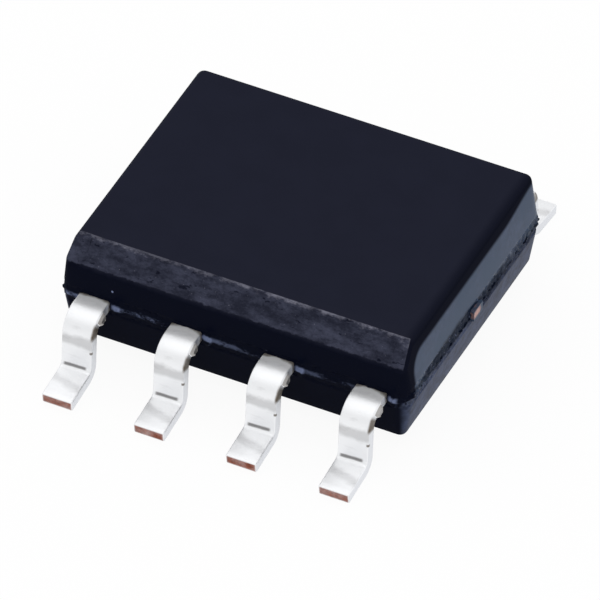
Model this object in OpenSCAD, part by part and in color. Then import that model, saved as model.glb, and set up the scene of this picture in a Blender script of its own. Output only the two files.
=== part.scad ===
// Memory chip in an eight-lead small-outline package: the moulding, the lead frame, the die and its wires.
// The board plane is z = 0, the two rows of leads run along X, and the bevelled long edge faces -Y.
// Leads 1 to 4 stand on the -Y side from -X to +X, and leads 5 to 8 come back along the +Y side.

/* [Moulding] */
// Length at the parting plane, along the rows of leads
body_l = 4.82; // [4.7:0.02:8]
// Width at the parting plane, from one row of leads to the other
body_w = 3.9; // [3.25:0.05:6]
// Height above the parting plane
upper_h = 0.75; // [0.6:0.01:1.5]
// Depth below the parting plane
lower_h = 0.67; // [0.5:0.01:1.2]
// Gap between the board and the underside
standoff = 0.23; // [0.1:0.01:0.4]
// How far the draft sets the top edges in from the parting plane
top_inset = 0.1; // [0.02:0.01:0.15]
// How far the draft sets the bottom edges in from the parting plane
bottom_inset = 0.11; // [0.02:0.01:0.15]
// Radius of the upright corners at the parting plane
corner_r = 0.25; // [0.25:0.01:0.4]
// Radius of the top edges, apart from the bevelled one
top_r = 0.09; // [0.02:0.01:0.12]
// Radius of the bottom edges
bottom_r = 0.06; // [0.02:0.01:0.1]
// Width and height of the bevel along the top of the pin 1 side
bevel = 0.28; // [0.25:0.01:0.5]
// How far the thin flash at the parting plane stands out
flash_out = 0.03; // [0.01:0.01:0.06]
// Thickness of the flash
flash_t = 0.05; // [0.02:0.01:0.1]
// Radius of the flash's corners
flash_corner_r = 0.15; // [0.1:0.01:0.3]

/* [Leads] */
// Distance from one lead to the next
pitch = 1.27; // [1:0.01:1.3]
// Width of a lead outside the moulding
lead_w = 0.42; // [0.3:0.01:0.5]
// Thickness of the lead frame sheet
lead_t = 0.15; // [0.1:0.01:0.2]
// How far a lead stands out from the side of the moulding
lead_reach = 1.05; // [0.9:0.01:1.4]
// Lean of a leg away from upright, in degrees
leg_splay = 4; // [0:1:10]
// Slope of a foot down to its toe, in degrees
foot_angle = 7; // [0:1:12]
// Radius of the shoulder bend, to the middle of the sheet
shoulder_r = 0.24; // [0.2:0.01:0.35]
// Radius of the heel bend, to the middle of the sheet
heel_r = 0.15; // [0.12:0.01:0.2]
// Length of the straight part of a foot
foot_l = 0.48; // [0.3:0.01:0.6]
// Width of the dam bar that joined the leads before it was cut away
dambar_w = 0.15; // [0.08:0.01:0.2]
// How far the cut end of the dam bar stands out from the +X side of a lead
dambar_stub = 0.06; // [0.02:0.01:0.1]

/* [Lead frame inside] */
// Length of the die pad, along the rows of leads
pad_l = 2.4; // [2:0.05:2.6]
// Width of the die pad
pad_w = 1.7; // [1.5:0.05:1.9]
// How far the die pad is set down below the leads
pad_drop = 0.2; // [0.15:0.01:0.25]
// Radius of the die pad's corners
pad_corner_r = 0.1; // [0.05:0.01:0.2]
// Width of the two tie bars that hold the die pad
tie_w = 0.25; // [0.15:0.01:0.4]
// Level stretch of a tie bar beside the die pad, before it climbs
tie_flat = 0.1; // [0.05:0.01:0.15]
// Length over which a tie bar climbs to the height of the leads
tie_climb = 0.25; // [0.2:0.01:0.4]
// How far the cut end of a tie bar stands out from the flash
tie_stub = 0; // [0:0.01:0.05]
// Gap between the inner tips of the leads and the die pad
tip_gap = 0.2; // [0.1:0.01:0.25]
// Width of the widened tip that the wire is bonded to
tip_w = 0.5; // [0.4:0.01:0.6]
// Length of the widened tip
tip_l = 0.3; // [0.25:0.01:0.32]
// Length of the narrow neck just inside the moulding
neck_l = 0.15; // [0.05:0.01:0.2]
// How far the tips of the corner leads are moved toward the middle
corner_shift = 0.35; // [0:0.01:0.4]
// Diameter of the hole in each tip that the moulding fills
lock_d = 0.16; // [0.1:0.01:0.2]
// Distance from a lead's inner end to the middle of its lock hole
lock_in = 0.42; // [0.4:0.01:0.45]

/* [Die] */
// Length of the die, along the rows of leads
die_l = 1.5; // [1.2:0.05:2]
// Width of the die
die_w = 1.2; // [0.9:0.05:1.4]
// Thickness of the die
die_t = 0.25; // [0.15:0.01:0.3]
// Thickness of the layer of silver epoxy under the die
attach_t = 0.025; // [0.015:0.005:0.05]
// How far the epoxy spreads past the die on each side
attach_rim = 0.05; // [0.02:0.01:0.1]

/* [Bond wires] */
// Diameter of the gold wire
wire_d = 0.025; // [0.015:0.001:0.05]
// Diameter of the ball on the die
ball_d = 0.08; // [0.06:0.005:0.1]
// Height of the ball
ball_h = 0.016; // [0.01:0.002:0.03]
// Height of a loop above the die
loop_h = 0.15; // [0.1:0.01:0.25]
// Distance between the bond pads along the die's long edges
bond_pitch = 0.35; // [0.2:0.01:0.38]
// Distance from the middle of a bond pad to the die's long edge
bond_in = 0.08; // [0.05:0.01:0.2]
// Distance from a lead's inner end to the middle of its bond
stitch_in = 0.15; // [0.1:0.01:0.2]

/* [Hidden] */
$fn = 96;
row_leads = 4;
lead_count = 2 * row_leads;
parting_z = standoff + lower_h;
top_z = parting_z + upper_h;
lead_top_z = parting_z + lead_t / 2;
pad_mid_z = parting_z - pad_drop;
pad_top_z = pad_mid_z + lead_t / 2;
die_bottom_z = pad_top_z + attach_t;
die_top_z = die_bottom_z + die_t;

// A lead turns down through the first angle, and back up through the second.
shoulder_turn = 90 - leg_splay;
heel_turn = shoulder_turn - foot_angle;
// The legs are as long as it takes for the lower edge of each toe to reach the board.
toe_mid_z = lead_t / 2 * cos(foot_angle);
shoulder_fall = shoulder_r * (1 - cos(shoulder_turn));
heel_fall = heel_r * (cos(foot_angle) - cos(shoulder_turn));
foot_fall = foot_l * sin(foot_angle);
leg_fall = parting_z - toe_mid_z - shoulder_fall - heel_fall - foot_fall;
leg_l = leg_fall / sin(shoulder_turn);
// The straight shoulder takes up what the bends, leg and foot leave of the reach.
bends_run = shoulder_r * sin(shoulder_turn) + heel_r * (sin(shoulder_turn) - sin(foot_angle));
foot_run = foot_l * cos(foot_angle) + lead_t / 2 * sin(foot_angle);
shoulder_l = lead_reach - bends_run - leg_l * cos(shoulder_turn) - foot_run;

tip_y = pad_w / 2 + tip_gap;
inner_l = body_w / 2 - tip_y;

edge_steps = 6;
tube_sides = 8;
loop_steps = 12;

// Where each lead stands, counted along its own row, before its row is turned into place.
function in_row(i) = (i - 1) % row_leads;
function row_turn(i) = i > row_leads ? 180 : 0;
function lead_x(i) = (in_row(i) - (row_leads - 1) / 2) * pitch;
function at_row_end(i) = in_row(i) == 0 || in_row(i) == row_leads - 1;
function tip_x(i) = lead_x(i) - (at_row_end(i) ? sign(lead_x(i)) * corner_shift : 0);
function bond_x(i) = (in_row(i) - (row_leads - 1) / 2) * bond_pitch;

// A point on the cubic curve through its first and last guide points, and its direction there.
function curve(g, u) =
    pow(1 - u, 3) * g[0] + 3 * pow(1 - u, 2) * u * g[1] + 3 * (1 - u) * u * u * g[2] + pow(u, 3) * g[3];
function heading(g, u) =
    let (d = pow(1 - u, 2) * (g[1] - g[0]) + 2 * (1 - u) * u * (g[2] - g[1]) + u * u * (g[3] - g[2]))
    d / norm(d);

module rounded_plate(l, w, r, t) {
    linear_extrude(t) {
        square([l - 2 * r, w], center = true);
        square([l, w - 2 * r], center = true);
        for (x = [-1, 1], y = [-1, 1])
            translate([x * (l / 2 - r), y * (w / 2 - r)]) circle(r);
    }
}

// The outline of a wall: from [reach, 0], drafted in by the inset at height h, to its rounded edge at the top.
function wall_outline(reach, h, inset, r) =
    let (lean = atan2(inset, h), centre = [reach - (r + (h - r) * sin(lean)) / cos(lean), h - r])
    concat([[reach, 0]], [
        for (k = [0:edge_steps])
            let (angle = lean + (90 - lean) * k / edge_steps)
            centre + r * [cos(angle), sin(angle)]
    ]);

// A section across half of the moulding, from wall to wall.
module half_section(reach, h, inset, r) {
    outline = wall_outline(reach, h, inset, r);
    polygon(concat(outline, [for (k = [len(outline) - 1:-1:0]) [-outline[k][0], outline[k][1]]]));
}

// Half of the moulding, on its parting plane, with the same draft and edge radius all round.
module drafted_half(h, inset, r) {
    half_l = body_l / 2;
    half_w = body_w / 2;
    translate([0, half_w - corner_r, 0])
        rotate([90, 0, 0])
            linear_extrude(body_w - 2 * corner_r) half_section(half_l, h, inset, r);
    translate([corner_r - half_l, 0, 0])
        rotate([90, 0, 90])
            linear_extrude(body_l - 2 * corner_r) half_section(half_w, h, inset, r);
    for (x = [0, 1], y = [0, 1])
        mirror([x, 0, 0])
            mirror([0, y, 0])
                translate([half_l - corner_r, half_w - corner_r, 0])
                    rotate_extrude(angle = 90)
                        polygon(concat([[0, 0]], wall_outline(corner_r, h, inset, r), [[0, h]]));
}

// The wedge that the bevel takes off the top edge of the pin 1 side.
module bevel_cut() {
    inner_y = bevel + top_inset - body_w / 2;
    past = bevel + top_inset;
    translate([body_l / 2, inner_y, top_z])
        rotate([90, 0, -90])
            linear_extrude(body_l)
                polygon([[-past, past], [past, past], [past, -past]]);
}

module moulding() {
    difference() {
        union() {
            translate([0, 0, parting_z]) drafted_half(upper_h, top_inset, top_r);
            translate([0, 0, parting_z]) mirror([0, 0, 1]) drafted_half(lower_h, bottom_inset, bottom_r);
        }
        bevel_cut();
    }
    translate([0, 0, parting_z - flash_t / 2])
        rounded_plate(body_l + 2 * flash_out, body_w + 2 * flash_out, flash_corner_r, flash_t);
}

// The black moulding fills every space that the frame, the die and the wires leave.
module mould_body() {
    color([0.13, 0.14, 0.18])
        difference() {
            moulding();
            die_pad();
            die_attach();
            memory_die();
            for (i = [1:lead_count]) {
                lead(i);
                bond_wire(i);
            }
        }
}

// A bend of width w in a strip that runs along +Y, down for a positive turn and up for a negative one.
module strip_bend(r, turn, w) {
    side = sign(turn);
    translate([0, 0, -side * r])
        rotate([0, -90 * side, 0])
            rotate_extrude(angle = abs(turn))
                translate([r - lead_t / 2, -w / 2]) square([lead_t, w]);
}

// A strip of the frame that runs along +Y, where each step is a straight length, a bend radius and a turn.
module bent_strip(steps, at = 0) {
    straight = steps[at][0];
    r = steps[at][1];
    turn = steps[at][2];
    translate([-lead_w / 2, 0, -lead_t / 2]) cube([lead_w, straight, lead_t]);
    if (turn != 0)
        translate([0, straight, 0]) {
            strip_bend(r, turn, lead_w);
            translate([0, 0, -sign(turn) * r])
                rotate([-turn, 0, 0])
                    translate([0, 0, sign(turn) * r]) bent_strip(steps, at + 1);
        }
}

// The flat part of a lead inside the moulding, from its neck at y = 0 to its widened tip.
module inner_lead(shift) {
    tip_start = inner_l - tip_l;
    translate([0, 0, -lead_t / 2])
        linear_extrude(lead_t)
            difference() {
                polygon([
                    [-lead_w / 2, 0],
                    [lead_w / 2, 0],
                    [lead_w / 2, neck_l],
                    [shift + tip_w / 2, tip_start],
                    [shift + tip_w / 2, inner_l],
                    [shift - tip_w / 2, inner_l],
                    [shift - tip_w / 2, tip_start],
                    [-lead_w / 2, neck_l]
                ]);
                translate([shift, inner_l - lock_in]) circle(d = lock_d);
            }
}

// What is left of the dam bar on one side of a lead, where the shoulder begins to turn.
module dambar_end(side) {
    turn = dambar_w / shoulder_r * 180 / PI;
    translate([side * (lead_w + dambar_stub) / 2, shoulder_l, 0])
        strip_bend(shoulder_r, turn, dambar_stub);
}

module lead(i) {
    color([0.78, 0.77, 0.74])
        rotate([0, 0, row_turn(i)])
            translate([lead_x(i), -body_w / 2, parting_z]) {
                inner_lead(tip_x(i) - lead_x(i));
                rotate([0, 0, 180]) {
                    bent_strip([
                        [shoulder_l, shoulder_r, shoulder_turn],
                        [leg_l, heel_r, -heel_turn],
                        [foot_l, 0, 0]
                    ]);
                    // The trim tool sits a little off, so each lead keeps a stub on its +X side only.
                    dambar_end(row_turn(i) == 0 ? -1 : 1);
                }
            }
}

// The side view of a tie bar, with the sheet's full thickness on its climb, from x = 0 at the die pad.
module tie_profile(length) {
    climb_start = tie_flat;
    climb_end = tie_flat + tie_climb;
    miter = lead_t * tan(atan2(pad_drop, tie_climb) / 2);
    polygon([
        [0, -lead_t / 2],
        [climb_start, -lead_t / 2],
        [climb_end, pad_drop - lead_t / 2],
        [length, pad_drop - lead_t / 2],
        [length, pad_drop + lead_t / 2],
        [climb_end - miter, pad_drop + lead_t / 2],
        [climb_start - miter, lead_t / 2],
        [0, lead_t / 2]
    ]);
}

// The die pad is set down below the leads, and its tie bars climb to the ends of the moulding.
module die_pad() {
    color([0.72, 0.45, 0.28]) {
        translate([0, 0, pad_mid_z - lead_t / 2]) rounded_plate(pad_l, pad_w, pad_corner_r, lead_t);
        for (turn = [0, 180])
            rotate([0, 0, turn])
                translate([pad_l / 2, tie_w / 2, pad_mid_z])
                    rotate([90, 0, 0])
                        linear_extrude(tie_w) tie_profile((body_l - pad_l) / 2 + flash_out + tie_stub);
    }
}

module die_attach() {
    color([0.75, 0.75, 0.72])
        translate([0, 0, pad_top_z])
            rounded_plate(die_l + 2 * attach_rim, die_w + 2 * attach_rim, attach_rim, attach_t);
}

module memory_die() {
    color([0.35, 0.38, 0.45])
        translate([-die_l / 2, -die_w / 2, die_bottom_z]) cube([die_l, die_w, die_t]);
}

// A closed skin over rings of points, with a flat cap on the first ring and on the last.
module skin(rings) {
    sides = len(rings[0]);
    last = (len(rings) - 1) * sides;
    points = [for (ring = rings) each ring];
    faces = concat(
        [[for (k = [0:sides - 1]) k]],
        [[for (k = [sides - 1:-1:0]) last + k]],
        [
            for (start = [0:sides:last - 1], k = [0:sides - 1])
                let (a = start + k, b = start + (k + 1) % sides)
                each [[a, a + sides, b + sides], [a, b + sides, b]]
        ]
    );
    polyhedron(points, faces);
}

// A ball on the die, a loop over its edge, and a stitch on the lead's tip, in the upright plane of the wire.
module bond_wire(i) {
    start = [bond_x(i), bond_in - die_w / 2];
    finish = [tip_x(i), -tip_y - stitch_in];
    span = norm(finish - start);
    along = (finish - start) / span;
    ball_top = die_top_z + ball_h;
    crest = die_top_z + loop_h;
    guide = [[0, ball_top], [0, crest + loop_h / 3], [span * 0.4, crest + loop_h / 3], [span, lead_top_z]];
    // A point at a distance along the span, a height, and a distance to the side.
    function place(p, aside) = [
        start[0] + p[0] * along[0] - aside * along[1],
        start[1] + p[0] * along[1] + aside * along[0],
        p[1]
    ];
    function ring(p, dir, r) = [
        for (k = [0:tube_sides - 1])
            let (angle = 360 * k / tube_sides)
            place(p + r * sin(angle) * [-dir[1], dir[0]], r * cos(angle))
    ];
    // The last ring follows the wire's direction down to the top of the lead.
    function stitch_ring(p, dir, r) = [
        for (k = [0:tube_sides - 1])
            let (
                angle = 360 * k / tube_sides,
                reach = -r * sin(angle) * dir[0] / dir[1],
                on_lead = p[0] - r * sin(angle) * dir[1] + reach * dir[0]
            )
            place([on_lead, lead_top_z], r * cos(angle))
    ];
    upright = [0, 1];
    color([0.95, 0.75, 0.3])
        rotate([0, 0, row_turn(i)])
            skin(concat(
                [ring([0, die_top_z], upright, ball_d * 0.42)],
                [ring([0, die_top_z + ball_h / 2], upright, ball_d / 2)],
                [ring([0, ball_top], upright, ball_d * 0.3)],
                [
                    for (k = [1:loop_steps - 1])
                        let (u = k / loop_steps)
                        ring(curve(guide, u), heading(guide, u), wire_d / 2)
                ],
                [stitch_ring(guide[3], heading(guide, 1), wire_d / 2)]
            ));
}

mould_body();
die_pad();
die_attach();
memory_die();
for (i = [1:lead_count]) {
    lead(i);
    bond_wire(i);
}
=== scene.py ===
"""A memory chip in a small-outline package: its moulding, its leads and the finishes of the parts inside."""

import math

import bmesh
import bpy
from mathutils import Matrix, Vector


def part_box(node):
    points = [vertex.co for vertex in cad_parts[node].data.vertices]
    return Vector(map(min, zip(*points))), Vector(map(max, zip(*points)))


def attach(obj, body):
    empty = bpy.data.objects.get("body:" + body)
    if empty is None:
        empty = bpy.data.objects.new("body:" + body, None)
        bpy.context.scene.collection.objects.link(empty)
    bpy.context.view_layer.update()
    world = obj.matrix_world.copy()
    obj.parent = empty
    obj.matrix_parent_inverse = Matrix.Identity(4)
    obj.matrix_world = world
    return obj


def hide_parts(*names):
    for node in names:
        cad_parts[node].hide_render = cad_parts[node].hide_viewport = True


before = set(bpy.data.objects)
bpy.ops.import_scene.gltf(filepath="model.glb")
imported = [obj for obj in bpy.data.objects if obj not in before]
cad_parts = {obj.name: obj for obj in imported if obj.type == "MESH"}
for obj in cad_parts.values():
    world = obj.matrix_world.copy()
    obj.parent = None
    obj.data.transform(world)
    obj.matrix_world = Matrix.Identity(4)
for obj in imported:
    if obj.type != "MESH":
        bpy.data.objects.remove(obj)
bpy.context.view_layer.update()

bl_info = {
    "name": "Memory Chip",
    "version": (1, 0, 0),
    "blender": (4, 5, 0),
    "location": "View3D > Sidebar > Chip",
    "description": "Builds the moulding, leads and finishes of a small-outline memory chip",
    "category": "Object",
}

# Pieces are shaped at a thousand times their size, one unit to the millimetre, and brought to metres
# at the end.
MM = 0.001
# The thickness of the sheet that the leads are made of. The mould parts at its middle.
SHEET = 0.15
# Places no further apart than this count as the same.
TOUCH = 0.001
# How far a 45 degree slope reaches along its normal for each step up or out
DIAGONAL = math.sqrt(0.5)


def rgb(red, green, blue):
    """A colour given in display values from 0 to 255, as the linear values that a colour property holds."""
    def linear(value):
        value /= 255
        return value / 12.92 if value <= 0.04045 else ((value + 0.055) / 1.055) ** 2.4

    return (linear(red), linear(green), linear(blue))


def toned(shade, level):
    """A colour at a level of its own brightness."""
    return [part * level for part in shade]


def corners(node):
    """A node's lowest and highest corners in millimetres."""
    low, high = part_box(node)
    return low / MM, high / MM


def same(place, other):
    """Whether two places along one axis count as the same."""
    return abs(place - other) < TOUCH


def length(name, description, millimetres):
    return bpy.props.FloatProperty(
        name=name, description=description, default=millimetres * MM, unit="LENGTH", precision=6)


def angle(name, description, degrees):
    return bpy.props.FloatProperty(
        name=name, description=description, default=math.radians(degrees), subtype="ANGLE")


def colour(name, description, red, green, blue):
    return bpy.props.FloatVectorProperty(
        name=name, description=description, default=rgb(red, green, blue), subtype="COLOR", min=0, max=1)


class MouldingSettings(bpy.types.PropertyGroup):
    """The black moulding's sizes and colours."""

    top_inset: length("Top inset", "How far the draft sets the top edges in from the parting line", 0.1)
    bottom_inset: length(
        "Bottom inset", "How far the draft sets the bottom edges in from the parting line", 0.11)
    corner_radius: length("Corner radius", "Radius of the upright corners", 0.2)
    top_corner: length(
        "Top corner radius", "Radius that the upright corners draw down to at the back of the top", 0.09)
    top_radius: length("Top edge radius", "Radius of the top edges", 0.09)
    bottom_radius: length("Bottom edge radius", "Radius of the bottom edges", 0.06)
    bevel: length("Bevel", "Width and height of the bevel along the pin 1 side", 0.28)
    flash_out: length("Flash", "How far the flash stands out at the parting line", 0.03)
    band: length("Rough band", "Half the height of the rough band at the parting line", 0.14)
    compound: colour("Compound", "The matte top and underside", 29, 31, 44)
    # Far darker than the compound: the walls' colour is painted shade.
    wall: colour("Walls", "The smooth drafted walls", 7, 10, 24)
    # A painted sheen: the end walls' reflection of the bright surroundings, painted into their colour.
    end_wall_sheen: colour("End walls", "The bluish skin of the end walls", 38, 57, 82)
    bevel_dark: colour("Bevel, dark", "The darker mottling of the rough bevel", 35, 37, 49)
    bevel_pale: colour("Bevel, pale", "The paler mottling of the rough bevel", 70, 73, 90)
    # Partly real chips, partly a painted highlight along the bevel's edge.
    bevel_chip_glint: colour("Bevel chips", "The chips along the bevel's upper edge", 126, 126, 140)
    # A painted sheen as well, the floor's reflection below the parting line.
    low_wall_sheen: colour("Lower end walls", "The same skin below the parting line", 56, 65, 90)
    # Its darkness is painted shade where the mould halves meet.
    groove_shade: colour("Groove", "The dark rough band along the parting line", 12, 18, 30)
    # A painted highlight where the flash and the resin lumps catch the light.
    flash_highlight: colour("Flash specks", "The pale chips along the broken flash", 108, 118, 148)


class LeadSettings(bpy.types.PropertyGroup):
    """The sizes and colours of the eight leads."""

    pitch: length("Pitch", "Distance from one lead to the next", 1.27)
    width: length("Width", "Width of a lead outside the moulding", 0.42)
    thickness: length("Thickness", "Thickness of the sheet", SHEET)
    shoulder_radius: length("Shoulder radius", "Radius of the upper bend, to the middle of the sheet", 0.24)
    heel_radius: length("Heel radius", "Radius of the lower bend, to the middle of the sheet", 0.15)
    foot: length("Foot", "Length of the straight part of the foot", 0.48)
    leg_splay: angle("Leg splay", "Lean of the leg away from upright", 4)
    foot_angle: angle("Foot angle", "Slope of the foot down to its toe", 7)
    edge_radius: length("Edge radius", "Radius that stamping and plating leave on the edges", 0.02)
    dam_bar: length("Dam bar", "Width of the bar that joined the leads before it was cut away", 0.15)
    stub: length("Dam bar stub", "How far the cut end of the dam bar stands out from the lead", 0.05)
    neck: length("Neck", "Length of the narrow neck inside the moulding", 0.15)
    tip_width: length("Tip width", "Width of the tip that the wire is bonded to", 0.5)
    tip_length: length("Tip length", "Length of the widened tip", 0.3)
    tip_shift: length("Tip shift", "How far the corner leads' tips are moved toward the middle", 0.35)
    lock_hole: length("Lock hole", "Diameter of the hole that the moulding fills", 0.16)
    lock_from_tip: length("Lock hole place", "From the inner end to the middle of the lock hole", 0.42)
    tin: colour("Tin", "The satin plating", 247, 248, 250)
    edge: colour("Edges", "The plating on the sheared sides", 228, 230, 234)
    # The grey of painted reflections on the bends and the foot.
    mark: colour("Bend marks", "The dull marks that the bending tool leaves", 150, 149, 150)
    copper: colour("Copper", "The bare cut faces", 158, 96, 78)
    # Brown of bare metal, also used as painted shade at the lead's root by the wall.
    tarnish_and_shade: colour("Tarnish", "Bare metal gone brown where resin or the trimmed dam bar was", 84, 70, 50)


class InsideSettings(bpy.types.PropertyGroup):
    """The colours of the parts that the moulding holds."""

    copper: colour("Copper alloy", "The die pad and its tie bars", 214, 150, 112)
    silver: colour("Silver plating", "The spots on the lead tips that the wires are bonded to", 232, 231, 226)
    epoxy: colour("Silver epoxy", "The layer that holds the die down", 196, 196, 190)
    silicon: colour("Silicon", "The ground of the die", 74, 82, 104)
    array: colour("Memory array", "The blocks of cells on the die", 120, 92, 130)
    gold: colour("Gold", "The bond wires", 244, 204, 110)


class StudioSettings(bpy.types.PropertyGroup):
    """The floor, the light and the camera."""

    azimuth: angle("Azimuth", "The camera's turn to the right of straight in front", 26.1)
    elevation: angle("Elevation", "The camera's height above the floor, as an angle", 42.13)
    distance: length("Distance", "From the camera to the point it looks at", 159.09)
    focal_length: bpy.props.FloatProperty(
        name="Focal length", description="The lens, in millimetres", default=766.86, unit="CAMERA")
    aim: bpy.props.FloatVectorProperty(
        name="Aim", description="The point that the camera looks at",
        default=(0.1316 * MM, -0.3095 * MM, 0.419 * MM), subtype="XYZ", unit="LENGTH", precision=6)
    floor_size: length("Floor", "Length and width of the floor", 3000)
    floor: colour("Floor colour", "The plain pale floor", 250, 250, 250)
    floor_glow: bpy.props.FloatProperty(
        name="Floor glow", description="How much of the floor's colour is its own glow and not lit paper",
        default=0.93, min=0, max=1, subtype="FACTOR")
    world_level: bpy.props.FloatProperty(
        name="Surrounding light", description="Level of the light from high all round", default=0.76, min=0)
    overhead: bpy.props.FloatProperty(
        name="Overhead light", description="Power of the softbox over the chip", default=0.35, min=0,
        subtype="POWER")
    side: bpy.props.FloatProperty(
        name="Side light", description="Power of the softbox behind on the right", default=0.12, min=0,
        subtype="POWER")


# Shader nodes


class Value:
    """A socket's value, on which arithmetic adds the Math nodes."""

    def __init__(self, finish, socket):
        self.finish = finish
        self.socket = socket

    def math(self, operation, *values):
        sockets = dict(enumerate((self, *values)))
        return self.finish.node("Math", {"operation": operation}, sockets)

    def __add__(self, other):
        return self.math("ADD", other)

    def __sub__(self, other):
        return self.math("SUBTRACT", other)

    def __mul__(self, other):
        return self.math("MULTIPLY", other)

    def __truediv__(self, other):
        return self.math("DIVIDE", other)

    def __neg__(self):
        return self.math("MULTIPLY", -1)

    def __rsub__(self, other):
        return -self + other

    __radd__ = __add__
    __rmul__ = __mul__

    def at_least(self, other):
        return self.math("MAXIMUM", other)

    def at_most(self, other):
        return self.math("MINIMUM", other)

    def size(self):
        return self.math("ABSOLUTE")

    def root(self):
        return self.math("SQRT")

    def rise(self, low, high):
        """From 0 where this value is low to 1 where it is high, smoothly. High may be the lower number."""
        return self.finish.node("MapRange", {"interpolation_type": "SMOOTHSTEP"}, {
            "Value": self, "From Min": low, "From Max": high})

    def near(self, middle, reach, soft):
        """1 within reach of the middle, and 0 from a soft step further out."""
        return (self - middle).size().rise(reach + soft, reach)


class Finish:
    """A material or a world, and the one method that adds a node to it."""

    def __init__(self, owner):
        owner.use_nodes = True
        self.owner = owner
        self.tree = owner.node_tree
        self.tree.nodes.clear()

    def node(self, kind, settings=None, sockets=None, output=0):
        node = self.tree.nodes.new("ShaderNode" + kind)
        for name, value in (settings or {}).items():
            setattr(node, name, value)
        for name, value in (sockets or {}).items():
            if isinstance(value, Value):
                self.tree.links.new(value.socket, node.inputs[name])
            else:
                node.inputs[name].default_value = value
        return Value(self, node.outputs[output]) if node.outputs else None

    def place(self):
        """The place on the object in millimetres, as a vector."""
        place = self.node("TexCoord", output="Object")
        return self.node("VectorMath", {"operation": "SCALE"}, {0: place, "Scale": 1 / MM})

    def parts(self, vector):
        split = self.node("SeparateXYZ", sockets={0: vector}).socket.node
        return [Value(self, output) for output in split.outputs]

    def stretch(self, vector, by):
        return self.node("VectorMath", {"operation": "MULTIPLY"}, {0: vector, 1: by})

    def noise(self, vector, scale, detail, roughness):
        return self.node("TexNoise", {}, {
            "Vector": vector, "Scale": scale, "Detail": detail, "Roughness": roughness})

    def blend(self, mask, first, second):
        """The first colour where the mask is 0 and the second where it is 1."""
        def full(shade):
            return shade if isinstance(shade, Value) else (*shade, 1)

        return self.node("Mix", {"data_type": "RGBA"}, {0: mask, 6: full(first), 7: full(second)}, 2)

    def bump(self, height, distance, strength, normal=None):
        """A normal from a height in millimetres times the distance."""
        sockets = {"Height": height, "Distance": distance * MM, "Strength": strength}
        if normal is not None:
            sockets["Normal"] = normal
        return self.node("Bump", {}, sockets)

    def surface(self, sockets):
        shader = self.node("BsdfPrincipled", {}, sockets)
        self.node("OutputMaterial", {}, {"Surface": shader})
        return self.owner


def new_finish(name):
    return Finish(bpy.data.materials.new(name))


# Modelling by hand: what is selected, and what becomes of a finished piece


def only(piece):
    """Selects the piece alone and makes it the active one."""
    bpy.ops.object.select_all(action="DESELECT")
    piece.select_set(True)
    bpy.context.view_layer.objects.active = piece


def settle():
    """Puts the selected piece's place and scale into its mesh."""
    bpy.ops.object.transform_apply(location=True, rotation=True, scale=True)


def add(name, primitive, scale=(1, 1, 1), **place):
    """A new primitive, with its place and scale already in its mesh."""
    bpy.ops.object.select_all(action="DESELECT")
    primitive(**place)
    piece = bpy.context.object
    piece.name = piece.data.name = name
    piece.scale = scale
    settle()
    return piece


def pick_all():
    bpy.ops.mesh.select_all(action="SELECT")


def face_outward():
    """Turns every face of a closed shape in edit mode outward."""
    pick_all()
    bpy.ops.mesh.normals_make_consistent(inside=False)


def pick(piece, kind, test):
    """Selects the vertices, edges or faces of the piece in edit mode that pass the test, and no others."""
    bpy.ops.mesh.select_mode(type={"verts": "VERT", "edges": "EDGE", "faces": "FACE"}[kind])
    bpy.ops.mesh.select_all(action="DESELECT")
    mesh = bmesh.from_edit_mesh(piece.data)
    found = [item for item in getattr(mesh, kind) if test(item)]
    if not found:
        raise RuntimeError(f"{piece.name}: none of its {kind} is in the place that was asked for")
    for item in found:
        item.select_set(True)
    mesh.select_flush_mode()
    bmesh.update_edit_mesh(piece.data)


def middle(item):
    """The middle of an edge or a face."""
    return sum((v.co for v in item.verts), Vector()) / len(item.verts)


def run(edge):
    """An edge's direction, with no sign."""
    along = (edge.verts[1].co - edge.verts[0].co).normalized()
    return Vector(map(abs, along))


def modify(piece, kind, **settings):
    """Adds a modifier and applies it."""
    only(piece)
    modifier = piece.modifiers.new(kind.title(), kind)
    for name, value in settings.items():
        setattr(modifier, name, value)
    bpy.ops.object.modifier_apply(modifier=modifier.name)


def clouds(name, scale):
    """A cloudy texture, its coarsest clouds of the scale in millimetres."""
    texture = bpy.data.textures.new(name, "CLOUDS")
    texture.noise_scale = scale
    texture.noise_depth = 4
    return texture


def group(piece, name, weight):
    """A vertex group with the weight that the function gives for each vertex's place."""
    made = piece.vertex_groups.new(name=name)
    for vertex in piece.data.vertices:
        made.add([vertex.index], weight(vertex.co), "REPLACE")
    return made.name


def finish_piece(piece, node, material, smooth):
    """Smooths edges up to an angle in degrees, brings the piece to size, gives it its finish and lets it
    stand for its CAD node."""
    only(piece)
    bpy.ops.object.shade_smooth_by_angle(angle=math.radians(smooth))
    bpy.ops.transform.resize(value=(MM, MM, MM), center_override=(0, 0, 0))
    settle()
    piece.data.materials.clear()
    piece.data.materials.append(material)
    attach(piece, "root")
    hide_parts(node)


# The moulding


class MouldSizes:
    """The heights and widths in millimetres that the moulding's shape and its finish both go by."""

    def __init__(self, s):
        low, high = corners("mould_body")
        flash = s.flash_out / MM
        self.bottom, self.top = low.z, high.z
        self.parting = corners("lead_1")[1].z - SHEET / 2
        # Half its length and half its width where the mould parts, without the flash
        self.half_l, self.half_w = high.x - flash, high.y - flash
        self.top_inset = s.top_inset / MM
        self.bevel = s.bevel / MM
        # Where the bevel's plane meets the top, and how far out it lies along its own normal
        self.bevel_edge = self.top_inset + self.bevel - self.half_w
        self.bevel_out = (self.half_w - self.top_inset - self.bevel + self.top) * DIAGONAL
        # How far from the middle the bevel is cut finely, which stops short of the rounded corners
        self.fine_end = self.half_l - 0.28
        self.band_low = self.parting - s.band / MM
        self.band_high = self.parting + s.band / MM


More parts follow.
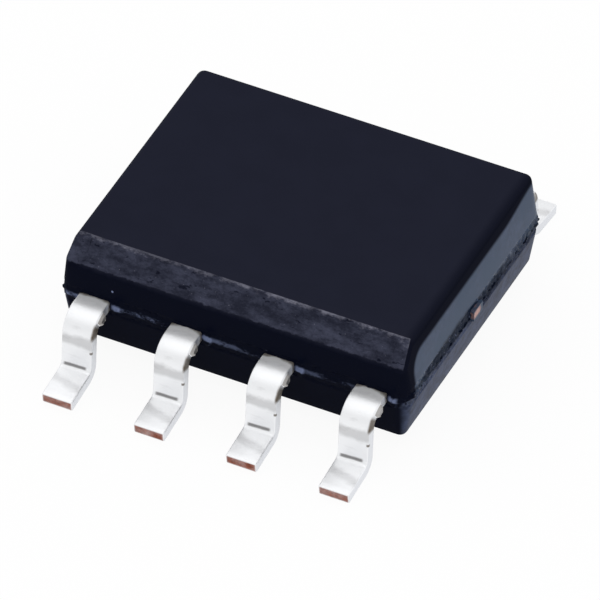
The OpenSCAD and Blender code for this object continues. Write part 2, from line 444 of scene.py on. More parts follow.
def bevel_look(f, s, m, place, fine, grain, streak):
    """Where the bevel lies, and its colour. It is as rough as the tool that cut the mould left it."""
    x, y, z = f.parts(place)
    slope = (z - y) * DIAGONAL
    draft = (z - m.parting) * (m.top_inset / (m.top - m.parting))
    foot = m.top - m.bevel
    at_bevel = slope.rise(m.bevel_out - 0.09, m.bevel_out - 0.08)
    at_bevel = at_bevel * (x + draft).rise(m.half_l - 0.045, m.half_l - 0.055)
    at_bevel = at_bevel * y.rise(m.bevel_edge + 0.006, m.bevel_edge - 0.004)
    at_bevel = at_bevel * (z + grain * 0.04).rise(foot + 0.01, foot + 0.025)

    mottle = (streak.rise(0.34, 0.7) * 0.8 + (fine - 0.5) * 0.4).at_least(0).at_most(1)
    pits = f.noise(f.stretch(place, (0.5, 1, 1.4)), 9, 3, 0.6).rise(0.62, 0.67)
    # Glints are painted highlights on the rough bevel; the pale bits along its upper edge and at its end are
    # partly chipped resin and partly a painted highlight.
    glint = f.noise(place, 45, 2, 0.5).rise(0.72, 0.77) * 0.6
    broken = f.noise(f.stretch(place, (0.6, 1, 1)), 13, 4, 0.7)
    ragged_z = z + broken * 0.2
    edge_chips_and_glints = ragged_z.rise(m.top + 0.055, m.top + 0.1) * (streak.rise(0.45, 0.62) * 0.45 + 0.35)
    end_chips_and_glints = (x + broken * 0.3).rise(m.half_l - 0.06, m.half_l + 0.05)
    end_chips_and_glints = end_chips_and_glints * ragged_z.rise(m.top - 0.02, m.top + 0.07)
    colour_now = f.blend(mottle, s.bevel_dark, s.bevel_pale)
    colour_now = f.blend(pits * 0.7, colour_now, s.wall)
    colour_now = f.blend((glint + edge_chips_and_glints + end_chips_and_glints * 0.4).at_most(1), colour_now, s.bevel_chip_glint)
    return at_bevel, colour_now


def below_sheen_edge(m, y, z):
    """1 below the rounded upper edge of the end walls' painted sheen, which is higher toward the +Y side."""
    centre_drop, centre_in = 0.48, 0.54  # of the rounding, from the top and from the -Y side
    bare, covered = 0.31, 0.235  # radii at which the skin is gone, and is whole
    over = (z - (m.top - centre_drop)).at_least(0)
    past = (centre_in - m.half_w - y).at_least(0)
    rounded = (over * over + past * past).root()
    higher = y.rise(0.9, 1.8) * 0.095
    return (rounded - higher).rise(bare, covered)


def rough_band(m, y, z, ragged, at_side, on_low_end):
    """The rough band of broken flash where the mould parts, which the finish darkens as painted shade.

    On the end walls it sinks and fades toward the +Y side, and runs out toward the -Y side.
    """
    middle_up, reach, soft = 0.045, 0.11, 0.04
    height = z - (m.parting + middle_up) + y.rise(-0.3, 0.4) * 0.06
    reach = reach - y.rise(-0.9, -1.7) * 0.09 - at_side * 0.03
    faded = y.rise(0.6, 1.1) * on_low_end * 0.45
    return ((height + ragged).size() - reach).rise(soft, -soft) * (1 - faded)


def flash_highlights(f, m, place, ragged):
    """Painted highlights: the flash as a broken pale line, and the resin that crept out beside the leads as
    lumps.
    """
    x, _, z = f.parts(place)
    leads = bpy.context.scene.chip_leads
    pitch, width = leads.pitch / MM, leads.width / MM
    line = (z - m.parting + ragged * 0.4).size().rise(0.05, 0.012)
    stretches = f.noise(f.stretch(place, (0.5, 0.5, 1)), 4, 5, 0.75).rise(0.46, 0.6)
    stretches = stretches * (1 - x.rise(-0.9, 0.2) * 0.6)
    beside = ((x / pitch + 1.5).math("FRACT") * pitch - width / 2 - 0.08).size()
    lumps = beside.rise(0.08, 0.03) * (z - m.parting).size().rise(0.06, 0.02)
    return line * stretches * 0.8 + lumps


def moulding_finish(s):
    """A matte top, polished walls in painted shade, a rough bevel, bluish end walls whose colour is a painted
    sheen, and a broken band darkened as painted shade.
    """
    f = new_finish("mould_compound")
    m = MouldSizes(s)
    place = f.place()
    x, y, z = f.parts(place)
    nx, _, nz = f.parts(f.node("TexCoord", output="Normal"))
    fine = f.noise(place, 42, 4, 0.6)
    grain = f.noise(place, 15, 3, 0.6)
    broad = f.noise(place, 2.2, 2, 0.5)
    streak = f.noise(f.stretch(place, (0.5, 1, 1)), 6, 6, 0.75)
    ragged = (f.noise(place, 7, 4, 0.65) - 0.5) * 0.09

    # The walls come from polished steel, and the top and underside from a fine matte one. The walls' far
    # darker colour is painted shade.
    on_wall = nz.size().rise(0.9, 0.5)
    matte = f.blend(broad.rise(0.3, 0.7) * 0.25, s.compound, toned(s.compound, 1.25))
    # Along the top's +X end a band is darkened toward the wall colour: painted shade along that edge.
    matte = f.blend(x.rise(m.half_l - 0.27, m.half_l - 0.1) * 0.7, matte, s.wall)
    colour_now = f.blend(on_wall, matte, s.wall)

    # The end walls get a glossy coat and a bluish painted sheen, plain above the parting line and cloudy
    # below it.
    on_end = nx.size().rise(0.72, 0.93)
    on_low_end = nx.size().rise(0.3, 0.92)
    at_side = y.size().rise(m.half_w - 0.16, m.half_w - 0.08) * (1 - on_end)
    lower = z.rise(m.parting, m.parting - 0.02)
    band = rough_band(m, y, z, ragged, at_side, on_low_end)
    gloss_and_painted_sheen = on_end * below_sheen_edge(m, y, z) * (1 - lower) + on_low_end * lower * 0.8
    gloss_and_painted_sheen = gloss_and_painted_sheen * (1 - band * 0.65)
    cloudy = f.blend(streak.rise(0.34, 0.66), toned(s.low_wall_sheen, 0.66), toned(s.low_wall_sheen, 1.4))
    end_sheen_colour = f.blend((broad.rise(0.35, 0.65) * 0.35).at_least(lower), s.end_wall_sheen, cloudy)
    colour_now = f.blend(gloss_and_painted_sheen, colour_now, end_sheen_colour)

    # Painted shade darkens the band, and patches below it on the end walls.
    painted_shade_below = on_low_end * z.rise(m.parting - 0.32, m.parting - 0.08) * lower
    painted_shade_below = painted_shade_below * (broad + grain).rise(0.85, 1.1) * 0.45
    colour_now = f.blend((band * (0.9 - on_low_end * 0.45)).at_least(painted_shade_below), colour_now, s.groove_shade)

    # Pale, as painted highlights, are chips in the band, the flash with the crept resin, and a few glinting
    # dots on the upper long walls.
    chips = f.noise(f.stretch(place, (1, 1, 1.6)), 17, 3, 0.7).rise(0.57, 0.72)
    pale = (flash_highlights(f, m, place, ragged) * at_side + band * chips * 0.5).at_most(1)
    glint_specks = f.node("TexVoronoi", {}, {"Vector": place, "Scale": 3.0}).rise(0.06, 0.035)
    glint_specks = glint_specks * at_side * z.rise(m.parting + 0.1, m.parting + 0.2)
    colour_now = f.blend((pale + glint_specks).at_most(1), colour_now, s.flash_highlight)

    at_bevel, bevel_colour = bevel_look(f, s, m, place, fine, grain, streak)
    colour_now = f.blend(at_bevel, colour_now, bevel_colour)
    smooth = (1 - at_bevel) * (1 - band)
    gloss = gloss_and_painted_sheen * (0.46 - lower * 0.24) + smooth * 0.05
    rough = 0.62 + fine * 0.1 - on_wall * smooth * 0.25
    normal = f.bump(fine, 0.004, 0.35)
    normal = f.bump(grain * at_bevel, 0.02, 0.8, normal)
    return f.surface({
        "Base Color": colour_now, "Roughness": rough, "Coat Weight": gloss, "Coat Roughness": 0.22,
        "Specular IOR Level": 0.0, "Normal": normal})


def draw_halves(piece, s, m):
    """Draws each half out of the outline where the mould parts, drafted in as it goes, and rounds the
    edges of the top and underside."""
    corner_radius = s.corner_radius / MM
    behind = s.top_corner / (s.corner_radius - s.top_inset)
    in_front = 0.05  # nearly sharp, because the bevel cuts these corners away
    offset_to_radius = 0.87  # at the angle that the draft leaves between a wall and the top or underside

    pick_all()
    bpy.ops.mesh.bevel(offset=corner_radius, segments=8, affect="VERTICES")
    pick_all()
    bpy.ops.mesh.inset(thickness=m.top_inset, depth=m.top - m.parting)
    top_l, top_w = m.half_l - m.top_inset, m.half_w - m.top_inset
    for corner in ((x, y, m.top) for x in (-top_l, top_l) for y in (-top_w, top_w)):
        tight = behind if corner[1] > 0 else in_front
        pick(piece, "verts", lambda v: (v.co - Vector(corner)).length < corner_radius)
        bpy.ops.transform.resize(value=(tight, tight, 1), center_override=corner)

    # The outline is closed again under the upper half, and that face is drawn down for the lower half
    pick(piece, "edges", lambda e: e.is_boundary)
    bpy.ops.mesh.edge_face_add()
    pick(piece, "faces", lambda face: same(middle(face).z, m.parting))
    bpy.ops.mesh.normals_make_consistent(inside=False)
    pick(piece, "faces", lambda face: all(same(v.co.z, m.parting) for v in face.verts))
    bpy.ops.mesh.inset(thickness=s.bottom_inset / MM, depth=m.parting - m.bottom)
    face_outward()
    for radius, end in ((s.top_radius / MM, m.top), (s.bottom_radius / MM, m.bottom)):
        pick(piece, "edges", lambda e: all(same(v.co.z, end) for v in e.verts))
        bpy.ops.mesh.bevel(offset=radius * offset_to_radius, segments=5, affect="EDGES")


def cut_bevel(piece, m):
    """Cuts the bevel of the pin 1 side, rounds its two long edges a little, and cuts it finely."""
    columns, rows = 170, 16
    rounding, slack = 0.012, 0.02

    def on_slope(co):
        return abs((co.z - co.y) * DIAGONAL - m.bevel_out) < slack

    pick_all()
    bpy.ops.mesh.bisect(plane_co=(0, m.bevel_edge, m.top), plane_no=(0, -1, 1), clear_outer=True,
                        use_fill=True)
    pick(piece, "edges", lambda e: run(e).x > 0.99 and all(on_slope(v.co) for v in e.verts))
    bpy.ops.mesh.bevel(offset=rounding, segments=2, affect="EDGES")
    # Where the rounding runs into a corner it leaves points on top of each other
    pick_all()
    bpy.ops.mesh.remove_doubles(threshold=TOUCH / 2)
    for k in range(1, columns):
        pick(piece, "faces", lambda face: on_slope(middle(face)) and face.normal.z > 0.3)
        bpy.ops.mesh.bisect(plane_co=((2 * k / columns - 1) * m.fine_end, 0, 0), plane_no=(1, 0, 0))
    for k in range(1, rows):
        pick(piece, "faces", lambda face: on_slope(middle(face)) and face.normal.z > 0.6
             and abs(middle(face).x) < m.fine_end)
        drop = m.bevel * k / rows
        bpy.ops.mesh.bisect(plane_co=(0, m.bevel_edge - drop, m.top - drop), plane_no=(0, 1, 1))


def cut_band(piece, m):
    """Cuts the rough band finely, in a grid that keeps its faces even."""
    grid = 0.24
    cuts = [(Vector((0, 0, 1)), z) for z in (
        m.band_low, m.band_high, m.band_low - 0.02, m.band_high + 0.02,
        m.band_low - 0.15, m.band_high + 0.15, m.band_low - 0.3)]
    cuts += [(Vector((1, 0, 0)), k * grid) for k in range(-9, 10)]
    cuts += [(Vector((0, 1, 0)), k * grid) for k in range(-6, 8)]
    for normal, at in cuts:
        pick_all()
        bpy.ops.mesh.bisect(plane_co=normal * at, plane_no=normal)

    def in_band(edge):
        return all(m.band_low - TOUCH < v.co.z < m.band_high + TOUCH for v in edge.verts)

    for longest, cuts_each in ((0.1, 9), (0.03, 1)):
        pick(piece, "edges", lambda e: in_band(e) and run(e).z < 0.1 and e.calc_length() > longest)
        bpy.ops.mesh.subdivide(number_cuts=cuts_each)
    pick(piece, "edges", lambda e: in_band(e) and run(e).z > 0.9)
    bpy.ops.mesh.subdivide(number_cuts=7)


def roughen(piece, s, m):
    """Pushes the finely cut places in and out: the bevel, the band, the flash and the crept resin."""
    leads = bpy.context.scene.chip_leads
    pitch, width = leads.pitch / MM, leads.width / MM
    slack = 0.004

    def bevel_weight(co):
        """1 on the bevel, less along its edges and near its ends, and 0 past the finely cut part."""
        off = m.bevel_out - (co.z - co.y) * DIAGONAL
        if abs(off) > slack or abs(co.x) > m.fine_end + 0.01:
            return 0
        edge = min(m.top - co.z, co.z - (m.top - m.bevel))
        return 0.35 if edge < 0.02 or abs(co.x) > m.fine_end - 0.02 else 1

    def band_weight(co):
        return float(m.band_low + slack < co.z < m.band_high - slack)

    def flash_weight(co):
        return max(0, 1 - abs(co.z - m.parting) / 0.015)

    def bleed_weight(co):
        """Resin that crept out beside the leads, on their +X side, and at the corners."""
        off = abs((co.x + 1.5 * pitch) % pitch - width / 2 - 0.1)
        beside = max(0, 1 - off / 0.07) * (abs(co.y) > m.half_w - 0.05)
        corner = max(0, 1 - math.hypot(abs(co.x) - m.half_l, abs(co.y) - m.half_w) / 0.2)
        return band_weight(co) * max(beside, corner)

    for name, weight, scale, strength, mid_level in (
            ("bevel", bevel_weight, 0.05, 0.02, 0.9),
            ("band", band_weight, 0.045, 0.04, 0.8),
            ("flash", flash_weight, 0.09, s.flash_out / MM * 1.6, 0.38),
            ("bleed", bleed_weight, 0.05, 0.06, 0.2)):
        made = group(piece, name, weight)
        modify(piece, "DISPLACE", texture=clouds(name, scale), vertex_group=made, strength=strength,
               mid_level=mid_level)


def shape_moulding(s):
    m = MouldSizes(s)
    piece = add("moulding", bpy.ops.mesh.primitive_plane_add, size=1,
                location=(0, 0, m.parting), scale=(2 * m.half_l, 2 * m.half_w, 1))
    bpy.ops.object.mode_set(mode="EDIT")
    draw_halves(piece, s, m)
    cut_bevel(piece, m)
    cut_band(piece, m)
    bpy.ops.object.mode_set(mode="OBJECT")
    roughen(piece, s, m)
    return piece


class CHIP_OT_moulding(bpy.types.Operator):
    """Model the black moulding, with its bevel and the rough flash at its parting line"""

    bl_idname = "chip.moulding"
    bl_label = "Moulding"

    def execute(self, context):
        s = context.scene.chip_moulding
        piece = shape_moulding(s)
        finish_piece(piece, "mould_body", moulding_finish(s), 32)
        return {"FINISHED"}


# The leads


def spoke(radius, angle):
    """From the centre of a bend to its curve, at an angle from straight up toward the toe."""
    return radius * Vector((0, -math.sin(angle), math.cos(angle)))


class LeadPath:
    """The middle line of a lead's strip in its own upright plane, from where the CAD puts its two ends.

    It runs out of the wall along a flat shoulder, round the bend, down the leg, round the heel and along
    the foot to the toe.
    """

    def __init__(self, s):
        low, high = corners("lead_2")
        self.sheet = s.thickness / MM
        self.wall = -MouldSizes(bpy.context.scene.chip_moulding).half_w
        self.parting = high.z - self.sheet / 2
        self.inner = high.y - self.wall
        self.bend_radius, self.heel_radius = s.shoulder_radius / MM, s.heel_radius / MM
        self.foot = s.foot / MM
        self.down = math.radians(90) - s.leg_splay
        self.tilt = s.foot_angle
        bend_fall = self.bend_radius * (1 - math.cos(self.down))
        heel_fall = self.heel_radius * (math.cos(self.tilt) - math.cos(self.down))
        toe = self.sheet / 2 * math.cos(self.tilt)
        fall = self.parting - toe - bend_fall - heel_fall - self.foot * math.sin(self.tilt)
        self.leg = fall / math.sin(self.down)
        bends = self.bend_radius * math.sin(self.down)
        bends += self.heel_radius * (math.sin(self.down) - math.sin(self.tilt))
        foot_run = self.foot * math.cos(self.tilt) + self.sheet / 2 * math.sin(self.tilt)
        self.shoulder = self.wall - low.y - bends - self.leg * math.cos(self.down) - foot_run
        self.leg_way = Vector((0, -math.cos(self.down), -math.sin(self.down)))
        self.foot_way = Vector((0, -math.cos(self.tilt), -math.sin(self.tilt)))
        self.bend_start = Vector((0, self.wall - self.shoulder, self.parting))
        self.bend_centre = self.bend_start - Vector((0, 0, self.bend_radius))
        self.leg_start = self.bend_centre + spoke(self.bend_radius, self.down)
        self.heel_start = self.leg_start + self.leg * self.leg_way
        self.heel_centre = self.heel_start + spoke(self.heel_radius, self.down)
        self.foot_start = self.heel_centre - spoke(self.heel_radius, self.tilt)
        # How far along the strip the leg, the heel, the foot and the toe come
        self.leg_at = self.shoulder + self.bend_radius * self.down
        self.heel_at = self.leg_at + self.leg
        self.foot_at = self.heel_at + self.heel_radius * (self.down - self.tilt)
        self.toe_at = self.foot_at + self.foot

    def along(self, co):
        """How far along the strip from the wall a point lies, and its height over the middle of the sheet."""
        if co.y > self.bend_start.y:
            return self.wall - co.y, co.z - self.parting
        flat = Vector((0, co.y, co.z))
        if (flat - self.leg_start).dot(self.leg_way) < 0:
            arm = flat - self.bend_centre
            return self.shoulder + self.bend_radius * math.atan2(-arm.y, arm.z), arm.length - self.bend_radius
        if (flat - self.heel_start).dot(self.leg_way) < 0:
            off = flat - self.leg_start
            return self.leg_at + off.dot(self.leg_way), off.dot(Vector((0, self.leg_way.z, -self.leg_way.y)))
        if (flat - self.foot_start).dot(self.foot_way) < 0:
            arm = flat - self.heel_centre
            turned = self.down - math.atan2(arm.y, -arm.z)
            return self.heel_at + self.heel_radius * turned, self.heel_radius - arm.length
        off = flat - self.foot_start
        return self.foot_at + off.dot(self.foot_way), off.dot(Vector((0, self.foot_way.z, -self.foot_way.y)))


def lead_finish(s, path):
    """Satin tin, with the bending tool's traces in its roughness and painted reflections in grey on its bends
    and foot, bare copper where it was cut, and the alloy inside.
    """
    f = new_finish("lead_finish")
    place = f.place()
    strip = f.node("Attribute", {"attribute_name": "strip"}, output="Vector")
    across, along, height = f.parts(strip)
    facing_side = f.parts(f.node("TexCoord", output="Normal"))[0].size().rise(0.6, 0.9)
    half = s.width / MM / 2

    cloud = f.noise(place, 5, 3, 0.55)
    fine = f.noise(place, 30, 3, 0.6)
    smear = f.noise(f.stretch(strip, (1, 3, 1)), 4, 3, 0.6)
    wavy = (cloud - 0.5) * 0.09
    slant = across * 0.25

    # Painted reflections on the outer face, as grey bands: below the bend, a dark stripe at the heel, and one
    # across the foot, with random smudges. The roughness they add stands for the bending tool's traces.
    outer = height.rise(0, 0.03)
    run_here = along + wavy
    shade = run_here.near(path.leg_at + 0.05, 0.035, 0.07) * 0.38
    heel_reflection = (along + wavy * 0.3 + across * 0.06).near(path.heel_at + 0.045, 0.018, 0.045)
    heel_reflection = heel_reflection * (across + 0.015).size().rise(half * 0.82, half * 0.62)
    dull = (run_here - slant).near(path.foot_at + 0.2, 0.02, 0.08) * 0.22
    smudge = smear.rise(0.55, 0.75) * 0.12
    tool_marks_and_reflections = ((shade + dull) * outer + heel_reflection * outer + smudge).at_most(1)
    tin = f.blend(tool_marks_and_reflections, s.tin, s.mark)
    tin = f.blend(facing_side, tin, s.edge)

    # The first part is dulled by resin, and the inside of the heel is the brightest. Right by the wall it is
    # darkened as resin and painted shade.
    root = (along + cloud * 0.05).rise(0.15, 0.06)
    crept = (along - across.size() * 0.25 + cloud * 0.1).rise(0.05, 0.0)
    bright = outer * (run_here - slant).near(path.foot_at + 0.02, 0.09, 0.04)
    bright = bright * across.size().rise(half * 0.92, half * 0.75)
    tin = f.blend(crept * 0.8, tin, s.tarnish_and_shade)

    # Bare copper at the cut toe, brown metal at the dam bar's stub and below it, and a small dark spot on the
    # leg's edge
    toe = along.rise(path.toe_at - 0.004, path.toe_at - 0.001)
    rim = (half - across.size()).at_most(path.sheet / 2 - (height - 0.006).size()).rise(-0.005, 0.035)
    cut = (toe * (0.2 + rim * 0.7) * (0.55 + cloud * 0.9)).at_most(1)
    bare = f.blend(fine.rise(0.35, 0.7), s.copper, toned(s.copper, 0.62))
    stub = across.rise(half + 0.004, half + 0.014)
    below = along.near(path.shoulder + 0.26, 0.05, 0.06)
    below = below * (across + wavy * 0.3).rise(half - 0.035, half - 0.005)
    edge_spot = along.near(path.leg_at + 0.17, 0.008, 0.02) * (across - half).near(0, 0.02, 0.02)
    edge_spot = edge_spot * (height - path.sheet / 2).near(0, 0.02, 0.02)
    brown = (below * (0.5 + cloud * 0.7) + edge_spot * 0.8 + stub * (0.35 + cloud * 0.5)).at_most(1)
    tin = f.blend(brown, tin, s.tarnish_and_shade)

    # Inside the moulding the lead is rolled alloy, with silver on the tip for the wire
    alloy = bpy.context.scene.chip_inside
    inside = along.rise(-0.08, -0.1)
    rolled = f.noise(f.stretch(place, (1, 12, 4)), 6, 3, 0.6)
    frame_tone = f.blend(rolled.rise(0.3, 0.7), alloy.copper, toned(alloy.copper, 0.72))
    silvered = outer * along.rise(-path.inner + 0.42, -path.inner + 0.38)
    frame_tone = f.blend(silvered, frame_tone, alloy.silver)

    colour_now = f.blend(inside, f.blend(cut, tin, bare), frame_tone)
    rough = 0.47 + fine * 0.1 + tool_marks_and_reflections * 0.1 + cut * 0.15 - inside * 0.06
    return f.surface({
        "Base Color": colour_now, "Metallic": 1 - bright * 0.75 - root * 0.35, "Roughness": rough,
        "Normal": f.bump(fine + cloud, 0.004, 0.5)})


def shape_lead(s, path):
    """One lead of the pin 1 row, at x = 0, with its stub of dam bar on the +X side."""
    width = s.width / MM
    piece = add("lead", bpy.ops.mesh.primitive_cube_add, size=1,
                location=(0, path.wall - path.shoulder / 4, path.parting),
                scale=(width, path.shoulder / 2, path.sheet))
    bpy.ops.object.mode_set(mode="EDIT")
    pick(piece, "faces", lambda face: face.normal.y < -0.9)

    def draw(direction, distance, steps):
        for _ in range(steps):
            bpy.ops.mesh.extrude_region_move(
                TRANSFORM_OT_translate={"value": direction * (distance / steps)})

    draw(Vector((0, -1, 0)), path.shoulder / 2, 1)
    bpy.ops.mesh.spin(steps=12, angle=-path.down, center=path.bend_centre, axis=(1, 0, 0))
    draw(path.leg_way, path.leg, 4)
    bpy.ops.mesh.spin(steps=9, angle=path.down - path.tilt, center=path.heel_centre, axis=(1, 0, 0))
    draw(path.foot_way, path.foot, 5)

    # The flat part inside the moulding widens to the tip
    pick(piece, "faces", lambda face: face.normal.y > 0.9 and same(middle(face).y, path.wall))
    ahead = Vector((0, 1, 0))
    draw(ahead, s.neck / MM, 1)
    draw(ahead, path.inner - s.neck / MM - s.tip_length / MM, 1)
    bpy.ops.transform.resize(value=(s.tip_width / s.width, 1, 1), center_override=(0, 0, 0))
    draw(ahead, s.tip_length / MM, 1)
    face_outward()
    bpy.ops.object.mode_set(mode="OBJECT")
    modify(piece, "BEVEL", width=s.edge_radius / MM, segments=3, limit_method="ANGLE",
           angle_limit=math.radians(40))

    # The stub stands on the side of the first part of the bend, and tapers to a rounded end
    reach = s.dam_bar / MM
    taper, rounding = 0.65, 0.008

    def by_stub(face):
        along = path.along(middle(face))[0] - path.shoulder
        return face.normal.x > 0.9 and 0 < along < reach

    bpy.ops.object.mode_set(mode="EDIT")
    pick(piece, "faces", by_stub)
    draw(Vector((1, 0, 0)), s.stub / MM, 1)
    turned = reach / 2 / path.bend_radius
    stub_middle = path.bend_centre + spoke(path.bend_radius, turned)
    bpy.ops.transform.resize(value=(1, taper, taper), center_override=stub_middle)
    bpy.ops.mesh.dissolve_faces()
    bpy.ops.mesh.region_to_loop()
    bpy.ops.mesh.bevel(offset=rounding, segments=2, affect="EDGES")
    # Its many-cornered end isn't quite flat, so it is cut here into the same triangles in every run
    pick(piece, "faces", lambda face: face.normal.x > 0.9 and len(face.verts) > 4)
    bpy.ops.mesh.quads_convert_to_tris(quad_method="BEAUTY", ngon_method="BEAUTY")
    face_outward()
    bpy.ops.object.mode_set(mode="OBJECT")
    return piece


class CHIP_OT_leads(bpy.types.Operator):
    """Model one lead and copy it to its eight places"""

    bl_idname = "chip.leads"
    bl_label = "Leads"

    def execute(self, context):
        s = context.scene.chip_leads
        path = LeadPath(s)
        base = shape_lead(s, path)
        material = lead_finish(s, path)
        pitch = s.pitch / MM
        for number in range(1, 9):
            second_row = number > 4
            place = 8 - number if second_row else number - 1
            x = (place - 1.5) * pitch
            only(base)
            bpy.ops.object.duplicate(linked=False)
            lead = context.object
            lead.name = lead.data.name = f"plated_lead_{number}"
            self.place_lead(lead, s, path, x, second_row, place in (0, 3))
            finish_piece(lead, f"lead_{number}", material, 40)
        bpy.data.objects.remove(base)
        return {"FINISHED"}

    @staticmethod
    def place_lead(lead, s, path, x, second_row, at_corner):
        """Moves a corner lead's tip inward, cuts the lock hole, notes each vertex's place on the strip, and
        brings the lead to its place in its row."""
        shift = -math.copysign(s.tip_shift / MM, x) if at_corner else 0
        inner_end = path.wall + path.inner
        bpy.ops.object.mode_set(mode="EDIT")
        tip_start = inner_end - s.tip_length / MM
        pick(lead, "verts", lambda v: v.co.y > tip_start - 0.05)
        bpy.ops.transform.translate(value=(shift, 0, 0))
        bpy.ops.object.mode_set(mode="OBJECT")
        hole = add("hole", bpy.ops.mesh.primitive_cylinder_add, vertices=32,
                   radius=s.lock_hole / MM / 2, depth=1,
                   location=(shift, inner_end - s.lock_from_tip / MM, path.parting))
        modify(lead, "BOOLEAN", operation="DIFFERENCE", solver="EXACT", object=hole)
        bpy.data.objects.remove(hole)
        strip = lead.data.attributes.new("strip", "FLOAT_VECTOR", "POINT")
        for vertex, entry in zip(lead.data.vertices, strip.data):
            along, height = path.along(vertex.co)
            entry.vector = (vertex.co.x, along, height)
        if second_row:
            only(lead)
            bpy.ops.transform.resize(value=(1, -1, 1), center_override=(0, 0, 0))
            settle()
            bpy.ops.object.mode_set(mode="EDIT")
            face_outward()
            bpy.ops.object.mode_set(mode="OBJECT")
        only(lead)
        bpy.ops.transform.translate(value=(x, 0, 0))
        settle()


# The parts inside


def coat_nodes(names, material):
    """Gives the CAD nodes a material. Their meshes stay as they are."""
    for name in names:
        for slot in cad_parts[name].material_slots:
            slot.material = material


def copper_finish(s):
    """Rolled alloy, with resin smeared over the tie bars' ends round a bare spot where they were cut."""
    f = new_finish("copper_alloy")
    place = f.place()
    x, y, z = f.parts(place)
    mould = bpy.context.scene.chip_moulding
    wall = MouldSizes(mould).half_l
    bare_at = corners("lead_1")[1].z - 0.1
    rolled = f.noise(f.stretch(place, (1, 12, 4)), 6, 3, 0.6)
    cloud = f.noise(place, 3, 3, 0.5)
    smear = f.noise(place, 11, 3, 0.6) * 0.08
    bare = (z - bare_at - smear).size().rise(0.07, 0.02) * (y + smear).size().rise(0.13, 0.06)
    at_end = x.size().rise(wall - 0.06, wall - 0.055)
    resin = at_end * (1 - bare)
    tone = f.blend((rolled * 0.5 + cloud * 0.5).rise(0.3, 0.7), s.copper, toned(s.copper, 0.72))
    # The cut ends take some of the flash's painted highlight colour, and the resin on them the end walls'
    # painted sheen.
    tone = f.blend(at_end * 0.4, tone, mould.flash_highlight)
    tone = f.blend(resin, tone, mould.end_wall_sheen)
    return f.surface({
        "Base Color": tone, "Metallic": 1 - resin, "Roughness": 0.28 + rolled * 0.2 + resin * 0.2,
        "Normal": f.bump(rolled, 0.004, 0.5)})


def epoxy_finish(s):
    """Silver flakes in resin."""
    f = new_finish("silver_epoxy")
    place = f.place()
    flakes = f.node("TexVoronoi", {}, {"Vector": place, "Scale": 40.0})
    cloud = f.noise(place, 6, 3, 0.6)
    tone = f.blend(flakes.rise(0.1, 0.6), s.epoxy, toned(s.epoxy, 0.6))
    return f.surface({
        "Base Color": tone, "Metallic": 0.7, "Roughness": 0.5 + cloud * 0.2,
        "Normal": f.bump(flakes + cloud, 0.006, 0.7)})


def gold_finish(s):
    """Drawn gold, a little cloudy."""
    f = new_finish("gold_wire")
    place = f.place()
    cloud = f.noise(place, 25, 2, 0.5)
    tone = f.blend(cloud.rise(0.3, 0.7), s.gold, toned(s.gold, 0.85))
    return f.surface({"Base Color": tone, "Metallic": 1.0, "Roughness": 0.16 + cloud * 0.12})


def die_finish(s):
    """Polished silicon with its blocks of memory cells and bond pads on top, and sawn sides."""
    f = new_finish("silicon_die")
    place = f.place()
    x, y, z = f.parts(place)
    high = corners("memory_die")[1]
    aluminium = (0.75, 0.75, 0.76)
    on_top = z.rise(high.z - 0.002, high.z - 0.0005)

    # Blocks of cells in columns and rows inside a plain margin, and pads along two of the die's edges
    in_x = (high.x - 0.16 - x.size()).rise(0, 0.003)
    in_y = (high.y - 0.2 - y.size()).rise(0, 0.003)
    columns = (x * 3.1).math("PINGPONG", 0.5).rise(0.04, 0.055)
    rows = (y * 2.6).math("PINGPONG", 0.5).rise(0.05, 0.065)
    cells = (x * 42).math("PINGPONG", 0.5) * 0.6 + (y * 30).math("PINGPONG", 0.5) * 0.6
    array = in_x * in_y * columns * rows * on_top
    tone = f.blend(array, s.silicon, f.blend(cells, s.array, toned(s.array, 0.6)))
    pads = (x / 0.35 + 0.5).math("PINGPONG", 0.5).rise(0.38, 0.4) * x.size().rise(0.62, 0.6)
    pads = pads * y.size().near(high.y - 0.08, 0.04, 0.003) * on_top
    tone = f.blend(pads, tone, aluminium)
    saw = f.noise(f.stretch(place, (1, 1, 14)), 12, 3, 0.6)
    rough = 0.18 + saw * (1 - on_top) * 0.4
    return f.surface({
        "Base Color": tone, "Metallic": 0.35 + pads * 0.6, "Roughness": rough,
        "Coat Weight": on_top * 0.8, "Coat Roughness": 0.08,
        "Normal": f.bump(array + pads + saw * (1 - on_top), 0.002, 0.6)})


class CHIP_OT_inside(bpy.types.Operator):
    """Give the die, its pad, its epoxy and the bond wires their finishes"""

    bl_idname = "chip.inside"
    bl_label = "Parts inside"

    def execute(self, context):
        s = context.scene.chip_inside
        coat_nodes(["die_pad"], copper_finish(s))
        coat_nodes(["die_attach"], epoxy_finish(s))
        coat_nodes(["memory_die"], die_finish(s))
        coat_nodes([f"bond_wire_{number}" for number in range(1, 9)], gold_finish(s))
        return {"FINISHED"}


# The studio


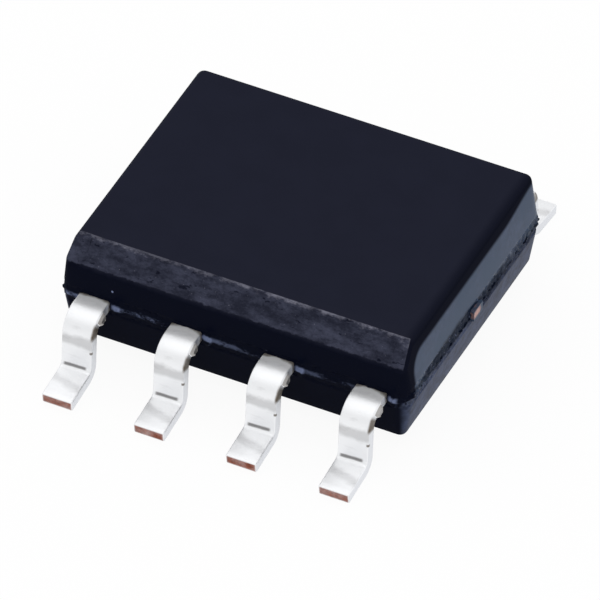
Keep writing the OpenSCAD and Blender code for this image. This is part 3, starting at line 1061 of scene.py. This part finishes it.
class CHIP_OT_stage(bpy.types.Operator):
    """Set up the floor, the lights and the camera"""

    bl_idname = "chip.stage"
    bl_label = "Studio"

    def execute(self, context):
        s = context.scene.chip_studio
        self.add_floor(s)
        self.light(context, s)
        self.add_camera(context, s)
        context.scene.view_settings.view_transform = "Standard"
        return {"FINISHED"}

    @staticmethod
    def seen(f):
        """1 for what the camera sees, straight or in a reflection or through glass."""
        rays = f.node("LightPath").socket.node.outputs
        kinds = [Value(f, rays[kind]) for kind in ("Is Camera Ray", "Is Glossy Ray", "Is Transmission Ray")]
        return kinds[0].at_least(kinds[1]).at_least(kinds[2])

    def add_floor(self, s):
        """Pale paper, most of whose colour as the camera sees it comes from its own glow."""
        floor = add("studio_floor", bpy.ops.mesh.primitive_plane_add, size=s.floor_size)
        f = new_finish("floor_paper")
        paper = f.node("BsdfDiffuse", {}, {"Color": (*s.floor, 1)})
        white = f.node("Emission", {}, {"Color": (1, 1, 1, 1), "Strength": 1.0})
        mixed = f.node("MixShader", {}, {0: self.seen(f) * s.floor_glow, 1: paper, 2: white})
        f.node("OutputMaterial", {}, {"Surface": mixed})
        floor.data.materials.append(f.owner)

    @staticmethod
    def light(context, s):
        """Light from all round, weaker from high up, and two softboxes with sizes and places in metres."""
        world = bpy.data.worlds.new("studio_light")
        context.scene.world = world
        f = Finish(world)
        height = f.parts(f.node("TexCoord", output="Generated"))[2]
        level = height.rise(0.45, 0.02) * (1 - s.world_level) + s.world_level
        sky = f.node("Background", {}, {"Color": (1, 1, 1, 1), "Strength": level})
        f.node("OutputWorld", {}, {"Surface": sky})
        for name, power, size, place in (
                ("overhead_softbox", s.overhead, 0.5, (-0.06, 0, 0.3)),
                ("side_softbox", s.side, 0.26, (0.3, 0.16, 0.12))):
            bpy.ops.object.light_add(type="AREA", location=place)
            lamp = context.object
            lamp.name = lamp.data.name = name
            lamp.data.energy = power
            lamp.data.size = size
            lamp.rotation_euler = (-Vector(place)).to_track_quat("-Z", "Y").to_euler()

    @staticmethod
    def add_camera(context, s):
        """A long lens that looks down at the pin 1 side from its right."""
        view = Vector((
            math.sin(s.azimuth) * math.cos(s.elevation),
            -math.cos(s.azimuth) * math.cos(s.elevation),
            math.sin(s.elevation)))
        aim = Vector(s.aim)
        bpy.ops.object.camera_add(location=aim + view * s.distance)
        camera = context.object
        camera.name = camera.data.name = "studio_camera"
        camera.rotation_euler = (-view).to_track_quat("-Z", "Y").to_euler()
        camera.data.lens = s.focal_length
        camera.data.clip_start = 0.01
        context.scene.camera = camera


class CHIP_PT_panel(bpy.types.Panel):
    """The chip's operators, in the order in which they are run"""

    bl_label = "Memory Chip"
    bl_space_type = "VIEW_3D"
    bl_region_type = "UI"
    bl_category = "Chip"

    def draw(self, context):
        column = self.layout.column()
        for operator in OPERATORS:
            column.operator(operator.bl_idname)


GROUPS = {
    "chip_moulding": MouldingSettings,
    "chip_leads": LeadSettings,
    "chip_inside": InsideSettings,
    "chip_studio": StudioSettings,
}
OPERATORS = (CHIP_OT_stage, CHIP_OT_moulding, CHIP_OT_leads, CHIP_OT_inside)
CLASSES = (*GROUPS.values(), *OPERATORS, CHIP_PT_panel)


def register():
    for cls in CLASSES:
        bpy.utils.register_class(cls)
    for name, cls in GROUPS.items():
        setattr(bpy.types.Scene, name, bpy.props.PointerProperty(type=cls))


def unregister():
    for name in GROUPS:
        delattr(bpy.types.Scene, name)
    for cls in reversed(CLASSES):
        bpy.utils.unregister_class(cls)


def main():
    register()
    bpy.ops.chip.stage()
    bpy.ops.chip.moulding()
    bpy.ops.chip.leads()
    bpy.ops.chip.inside()


if __name__ == "__main__":
    main()
